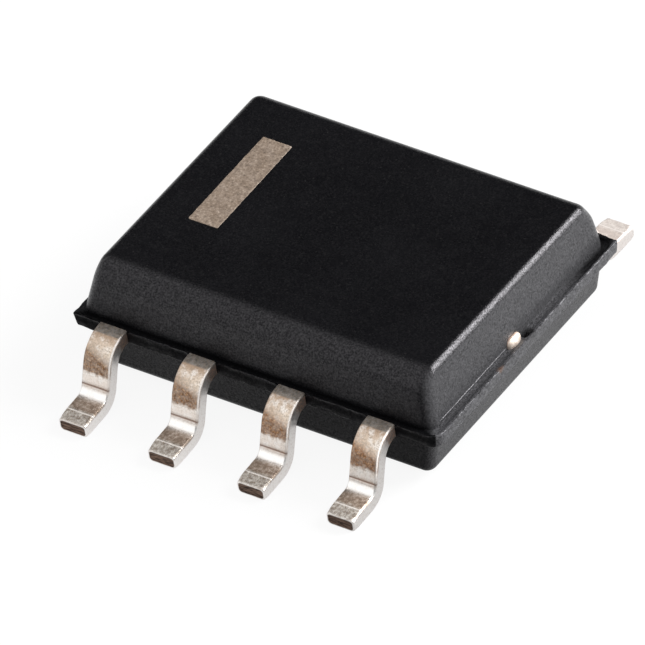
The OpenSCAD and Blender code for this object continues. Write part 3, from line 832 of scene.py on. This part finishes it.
    # Dark brown crease above the foot with painted shade round it, and a painted highlight on the burr
    # where the coined end starts
    crease = addRamp(tree, along, ((at(ends[2] - 0.10), 0.0), (at(ends[2] - 0.065), 0.35),
                                   (at(ends[2] - 0.046), 1.0), (at(ends[2] - 0.032), 0.3),
                                   (at(ends[2] - 0.005), 0.0)))
    colour = mixColour(tree, crease, colour, hexColour("#75594a"))
    burr = addRamp(tree, along, ((at(coinStart - 0.014), 0.0), (at(coinStart), 1.0),
                                 (at(coinStart + 0.014), 0.0)))
    colour = mixColour(tree, burr, colour, hexColour("#fffaf5"))
    sides = mixColour(tree, addRamp(tree, fine, ((0.3, 0.5), (0.5, 0.0))),
                      hexColour("#fdf9f6"), hexColour("#cfc1b8"))
    # The side under the shoulder has a copper blush
    blush = addRamp(tree, addMath(tree, "ADD", s, addMath(tree, "MULTIPLY", grit, 0.05)),
                    ((at(ends[0] + 0.16), 0.8), (at(ends[0] + 0.26), 0.0)))
    rust = addRamp(tree, fine, ((0.44, hexColour("#5a4a42")), (0.62, hexColour("#a8744a"))))
    sides = mixColour(tree, blush, sides, rust)
    colour = mixColour(tree, onTop, sides, colour)
    # Painted highlight along the bends' top right edge
    colour = mixColour(tree, paintedEdgeHighlight, colour, hexColour("#fffaf6"))
    # The back row is paler, with its sides painted darker than its tops: painted shade
    depth = addNode(tree, "ShaderNodeSeparateXYZ", links={"Vector": place}).outputs["Y"]
    backRow = addMath(tree, "MULTIPLY", addMath(tree, "GREATER_THAN", depth, 0.0), 0.6)
    backRowLitAndShaded = mixColour(tree, onTop, hexColour("#8f8681"), hexColour("#ddd4cf"))
    colour = mixColour(tree, backRow, colour, backRowLitAndShaded)
    shearStreak = addNode(tree, "ShaderNodeMapping", {"Scale": (0.3, 1.0, 2.2)}, {"Vector": place})
    streak = addNoise(tree, shearStreak.outputs["Vector"], 0.03, 2, 0.6)
    bare = addRamp(tree, streak, ((0.38, hexColour("#352923")), (0.62, hexColour("#80695b"))))
    bareShare = addMath(tree, "MULTIPLY", sheared, addMath(tree, "SUBTRACT", 1.0, backRow))
    colour = mixColour(tree, bareShare, colour, bare)
    tree.links.new(colour, shader.inputs["Base Color"])
    # The painted edge highlight and the back row scatter the light, the rest mirrors it
    scatter = addMath(tree, "MAXIMUM", paintedEdgeHighlight, addMath(tree, "MULTIPLY", backRow, 0.7))
    scatter = addMath(tree, "MAXIMUM", scatter, addMath(tree, "MULTIPLY", blush, 0.4))
    tree.links.new(addMath(tree, "SUBTRACT", 1.0, scatter), shader.inputs["Metallic"])
    rough = addRamp(tree, s, ((at(ends[0] + 0.05), 0.50), (at(ends[0] + 0.15), 0.36),
                              (at(ends[3] - 0.10), 0.30), (at(ends[3] + 0.04), 0.60),
                              (at(length / 1.05), 0.58)))
    # Sides keep one roughness: 0.32 + top share * (rough - 0.32)
    rough = addMath(tree, "MULTIPLY", addMath(tree, "SUBTRACT", rough, 0.32), onTop)
    rough = addMath(tree, "ADD", rough, 0.32)
    rough = addMath(tree, "MAXIMUM", rough, addMath(tree, "MULTIPLY", sheared, 0.5))
    uneven = addMath(tree, "MULTIPLY", addMath(tree, "SUBTRACT", fine, 0.5), 0.2)
    tree.links.new(addMath(tree, "ADD", rough, uneven), shader.inputs["Roughness"])
    fineBump = addNode(tree, "ShaderNodeBump", {"Strength": 0.4, "Distance": 0.002 * mm},
                       {"Height": fine})
    brushBump = addNode(tree, "ShaderNodeBump", {"Strength": 0.3, "Distance": 0.002 * mm},
                        {"Height": brush, "Normal": fineBump.outputs["Normal"]})
    tree.links.new(brushBump.outputs["Normal"], shader.inputs["Normal"])
    return material


leadFinish = None
for index in range(1, 9):
    lead, length, ends, coinStart = makeLead(index)
    leadFinish = leadFinish or tinPlating(length, ends, coinStart)
    lead.data.materials.append(leadFinish)
print("leads done")


# ---- inner pieces ----

tie = {
    "padHalf": (1.50, 1.05),     # half length and half width of the die pad, mm
    "padShift": -0.115,
    "barHalf": 0.135,
    "slope": 0.25,
    "thickness": 0.20,
    "drop": 0.15,
    "domeHalf": (0.062, 0.134, 0.088),   # oval end: out of the wall, along it, up it
    "domeShift": -0.06,          # the sheared end is bent towards the front
    "wall": 2.45,                # where the moulding's wall meets its ledge
    "leftReach": 0.07,           # the left wall's foot stands out, and the bar's end with it
}


# The pad and its two tie bars as one strip of rounded rectangular sections carried along
# X, which swells to half an ellipsoid at each end: section scale sqrt(1 - t^2)
def makeDiePad():
    low, high = cadBoxOf("die_pad")
    t, shift = tie["thickness"], tie["padShift"]
    out, across, up = tie["domeHalf"]
    level = high[2] - 0.09 - t / 2           # middle of the tie bars' strip
    domeLevel = level + t / 2
    half, width = tie["padHalf"]
    dome = np.cos(np.linspace(0.0, math.pi / 2, 15))
    stations = []
    for side in (-1, 1):
        padEnd = half + side * shift
        wall = tie["wall"]
        swell = np.sqrt(np.clip(1 - (dome - 0.004) ** 2, 0.0004, 1))
        tip = np.stack([wall + out * dome, across * swell, up * swell, np.full(15, domeLevel)])
        arm = np.array([
            (wall - 0.01, across, up, domeLevel), (wall - 0.02, tie["barHalf"], t / 2, level),
            (wall - 0.05, tie["barHalf"], t / 2, level),
            (padEnd + tie["slope"], tie["barHalf"], t / 2, level),
            (padEnd, tie["barHalf"], t / 2, level - tie["drop"]),
            (padEnd - 0.002, width, t / 2, level - tie["drop"])]).T
        branch = np.hstack([tip, arm])
        branch[0] *= side
        stations.append(branch if side < 0 else branch[:, ::-1])
    x, halfY, halfZ, centre = np.hstack(stations)
    template = lapTemplate(np.linspace(-1, 1, 9), np.linspace(-1, 1, 5), 9)
    round_ = np.where(np.abs(x) > tie["wall"] - 0.015, 0.999, 0.06)
    corner = np.minimum(halfY, halfZ) * round_
    b, c = lapPoints(template, halfY, halfZ, corner)
    aside = tie["domeShift"] * smoothStep(np.abs(x), tie["wall"] - 0.15, tie["wall"] - 0.03)
    b = b + aside[:, None]
    x = x - tie["leftReach"] * smoothStep(-x, tie["wall"] - 0.045, tie["wall"] - 0.02)
    points = np.stack([np.repeat(x[:, None], b.shape[1], 1), b, c + centre[:, None]], axis=-1)
    poles = np.array([(x[k], aside[k], centre[k]) for k in (0, -1)])
    piece = makeMesh("diePad", np.vstack([points.reshape(-1, 3), poles]),
                     *shellFaces(*b.shape), sharpAngle=50)
    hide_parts("die_pad")
    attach(piece, "root")
    return piece


# Rolled copper alloy strip: warm satin metal, tinned pale cream at the cut ends
def copperStrip():
    material, tree, shader = newMaterial("rolled copper strip")
    place = addNode(tree, "ShaderNodeTexCoord").outputs["Object"]
    grain = addNoise(tree, place, 0.03, 3)
    bare = addRamp(tree, grain, ((0.3, hexColour("#b06f47")), (0.7, hexColour("#d39468"))))
    tinned = addRamp(tree, grain, ((0.35, hexColour("#d2bfb0")), (0.65, hexColour("#f3e6da"))))
    along = addNode(tree, "ShaderNodeSeparateXYZ", links={"Vector": place}).outputs["X"]
    reach = addMath(tree, "MULTIPLY", addMath(tree, "ABSOLUTE", along, 0.0), 100.0)
    end = addRamp(tree, reach, ((0.2425, 0.0), (0.2440, 1.0)))
    tree.links.new(mixColour(tree, end, bare, tinned), shader.inputs["Base Color"])
    setSockets(shader, {"Metallic": 0.6, "Roughness": 0.45})
    return material


# Silver-filled die attach epoxy, dispensed: a grey paste with a dull glitter
def silverEpoxy():
    material, tree, shader = newMaterial("silver-filled epoxy")
    place = addNode(tree, "ShaderNodeTexCoord").outputs["Object"]
    grain = addNoise(tree, place, 0.03, 2)
    tree.links.new(addRamp(tree, grain, ((0.35, hexColour("#84847f")), (0.65, hexColour("#bdbdb6")))),
                   shader.inputs["Base Color"])
    setSockets(shader, {"Metallic": 0.4, "Roughness": 0.55})
    return material


# Polished silicon: a blue-grey mirror
def polishedSilicon():
    material, tree, shader = newMaterial("polished silicon")
    place = addNode(tree, "ShaderNodeTexCoord").outputs["Object"]
    cloud = addNoise(tree, place, 0.5, 2)
    tree.links.new(addRamp(tree, cloud, ((0.3, hexColour("#3a4150")), (0.7, hexColour("#566075")))),
                   shader.inputs["Base Color"])
    setSockets(shader, {"Metallic": 0.7, "Roughness": 0.12})
    return material


# Drawn gold wire: smooth and bright
def goldWire():
    material, tree, shader = newMaterial("drawn gold wire")
    place = addNode(tree, "ShaderNodeTexCoord").outputs["Object"]
    grain = addNoise(tree, place, 0.05, 2)
    tree.links.new(addRamp(tree, grain, ((0.3, hexColour("#d9a441")), (0.7, hexColour("#f0c46a")))),
                   shader.inputs["Base Color"])
    setSockets(shader, {"Metallic": 1.0, "Roughness": 0.2})
    return material


def finishNode(node, material):
    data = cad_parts[node].data
    data.materials.clear()
    data.materials.append(material)


wire = goldWire()
finishNode("die_attach", silverEpoxy())
finishNode("silicon_die", polishedSilicon())
for index in range(1, 9):
    finishNode("bond_wire_%d" % index, wire)
makeDiePad().data.materials.append(copperStrip())
print("inner pieces finished")


# ---- studio ----

studio = {
    "floorSize": 40.0,             # metres
    "floorGlow": 0.90,             # share of the floor's white that no shadow dims
    "keyDirection": (0.60, 0.60, 0.55),
    "keyDistance": 3.0,
    "keySize": 1.7,
    "keyRadiance": 18.0,
    "lowDirection": (0.78, 0.62, 0.14),
    "lowSize": 1.4,
    "lowRadiance": 9.0,
    "domeLevel": 1.08,             # soft white cloth over the front of the table
}


# Pale floor: white for the eye, with a soft shadow. What the part mirrors of it is mostly a glow
# with painted shade, brightest behind the part, dimmest on its right front side and close to it, with a
# little of its lit paint
def makeFloor():
    half = studio["floorSize"] / 2
    mesh = bpy.data.meshes.new("floor")
    mesh.from_pydata([(-half, -half, 0), (half, -half, 0), (half, half, 0), (-half, half, 0)], [],
                     [(0, 1, 2, 3)])
    floor = bpy.data.objects.new("floor", mesh)
    bpy.context.collection.objects.link(floor)
    material = bpy.data.materials.new("white sweep")
    material.use_nodes = True
    tree = material.node_tree
    tree.nodes.clear()
    path = addNode(tree, "ShaderNodeLightPath")
    place = addNode(tree, "ShaderNodeTexCoord").outputs["Object"]
    # Millimetres from the part towards its right front, and towards its back
    spot = addNode(tree, "ShaderNodeSeparateXYZ", links={"Vector": place})
    forth = addMath(tree, "ADD", addMath(tree, "MULTIPLY", spot.outputs["X"], 770.0),
                    addMath(tree, "MULTIPLY", spot.outputs["Y"], -630.0))
    back = addMath(tree, "ADD", addMath(tree, "MULTIPLY", spot.outputs["X"], 500.0),
                   addMath(tree, "MULTIPLY", spot.outputs["Y"], 860.0))
    dim = addNode(tree, "ShaderNodeMapRange", {"From Min": 2.0, "From Max": 5.0, "To Min": 1.0,
                                               "To Max": 0.12}, {"Value": forth})
    lit = addNode(tree, "ShaderNodeMapRange", {"From Min": -3.0, "From Max": 3.0, "To Min": 0.95,
                                               "To Max": 1.0}, {"Value": back})
    # Painted shade: close to the part the mirrored glow is darker
    outX = addMath(tree, "SUBTRACT", addMath(tree, "ABSOLUTE", spot.outputs["X"], 0.0), 2.4 * mm)
    outY = addMath(tree, "SUBTRACT", addMath(tree, "ABSOLUTE", spot.outputs["Y"], 0.0), 1.9 * mm)
    close = addNode(tree, "ShaderNodeMapRange", {"From Min": 0.0, "From Max": 2.2 * mm,
                                                 "To Min": 0.7, "To Max": 1.0},
                    {"Value": addMath(tree, "MAXIMUM", outX, outY)})
    paintedShadeTone = addMath(tree, "MULTIPLY", dim.outputs["Result"], lit.outputs["Result"])
    paintedShadeTone = addMath(tree, "MULTIPLY", paintedShadeTone, close.outputs["Result"])
    tone = mixColour(tree, path.outputs["Is Glossy Ray"], (1, 1, 1, 1), paintedShadeTone)
    seen = addMath(tree, "MULTIPLY", path.outputs["Is Camera Ray"], studio["floorGlow"])
    seen = addMath(tree, "MAXIMUM", seen,
                   addMath(tree, "MULTIPLY", path.outputs["Is Glossy Ray"], 0.85))
    seen = addMath(tree, "MAXIMUM", seen, path.outputs["Is Transmission Ray"])
    paint = addNode(tree, "ShaderNodeBsdfDiffuse", {"Color": hexColour("#e6e6e6")})
    glow = addNode(tree, "ShaderNodeEmission", {"Strength": 1.0}, {"Color": tone})
    mixed = addNode(tree, "ShaderNodeMixShader",
                    links={0: seen, 1: paint.outputs["BSDF"], 2: glow.outputs["Emission"]})
    addNode(tree, "ShaderNodeOutputMaterial", links={"Surface": mixed.outputs["Shader"]})
    mesh.materials.append(material)


def makeAreaLight(name, direction, distance, size, radiance, colour=(1, 1, 1)):
    data = bpy.data.lights.new(name, "AREA")
    data.shape = "SQUARE"
    data.size = size
    data.color = colour
    data.energy = radiance * math.pi * size ** 2
    lamp = bpy.data.objects.new(name, data)
    bpy.context.collection.objects.link(lamp)
    way = Vector(direction).normalized()
    lamp.location = way * distance
    lamp.rotation_mode = "QUATERNION"
    lamp.rotation_quaternion = way.to_track_quat("Z", "Y")


# The room: white along the horizon, a soft dome over the front, dark behind and above
def makeWorld():
    world = bpy.data.worlds.new("studio")
    bpy.context.scene.world = world
    world.use_nodes = True
    tree = world.node_tree
    tree.nodes.clear()
    direction = addNode(tree, "ShaderNodeTexCoord").outputs["Generated"]
    axes = addNode(tree, "ShaderNodeSeparateXYZ", links={"Vector": direction})
    height, depth = axes.outputs["Z"], axes.outputs["Y"]
    horizon = addRamp(tree, height, ((0.0, 1.0), (0.10, 0.9), (0.28, 0.03)))
    front = addNode(tree, "ShaderNodeMapRange",
                    {"From Min": 0.41, "From Max": 0.12, "To Min": 0.03,
                     "To Max": studio["domeLevel"]}, {"Value": depth})
    side = addMath(tree, "ADD", addMath(tree, "MULTIPLY", axes.outputs["X"], 0.77),
                   addMath(tree, "MULTIPLY", depth, -0.63))
    flag = addNode(tree, "ShaderNodeMapRange", {"From Min": 0.55, "From Max": 0.85, "To Min": 1.0,
                                                "To Max": 0.3}, {"Value": side})
    shade = addMath(tree, "MAXIMUM", horizon, front.outputs["Result"])
    shade = addMath(tree, "MULTIPLY", shade, flag.outputs["Result"])
    glow = addNode(tree, "ShaderNodeBackground", {"Strength": 1.0}, {"Color": shade})
    addNode(tree, "ShaderNodeOutputWorld", links={"Surface": glow.outputs["Background"]})


makeFloor()
makeAreaLight("key", studio["keyDirection"], studio["keyDistance"], studio["keySize"],
              studio["keyRadiance"])
makeAreaLight("low", studio["lowDirection"], studio["keyDistance"], studio["lowSize"],
              studio["lowRadiance"])
makeWorld()
bpy.context.scene.view_settings.view_transform = "Standard"
print("studio lit")
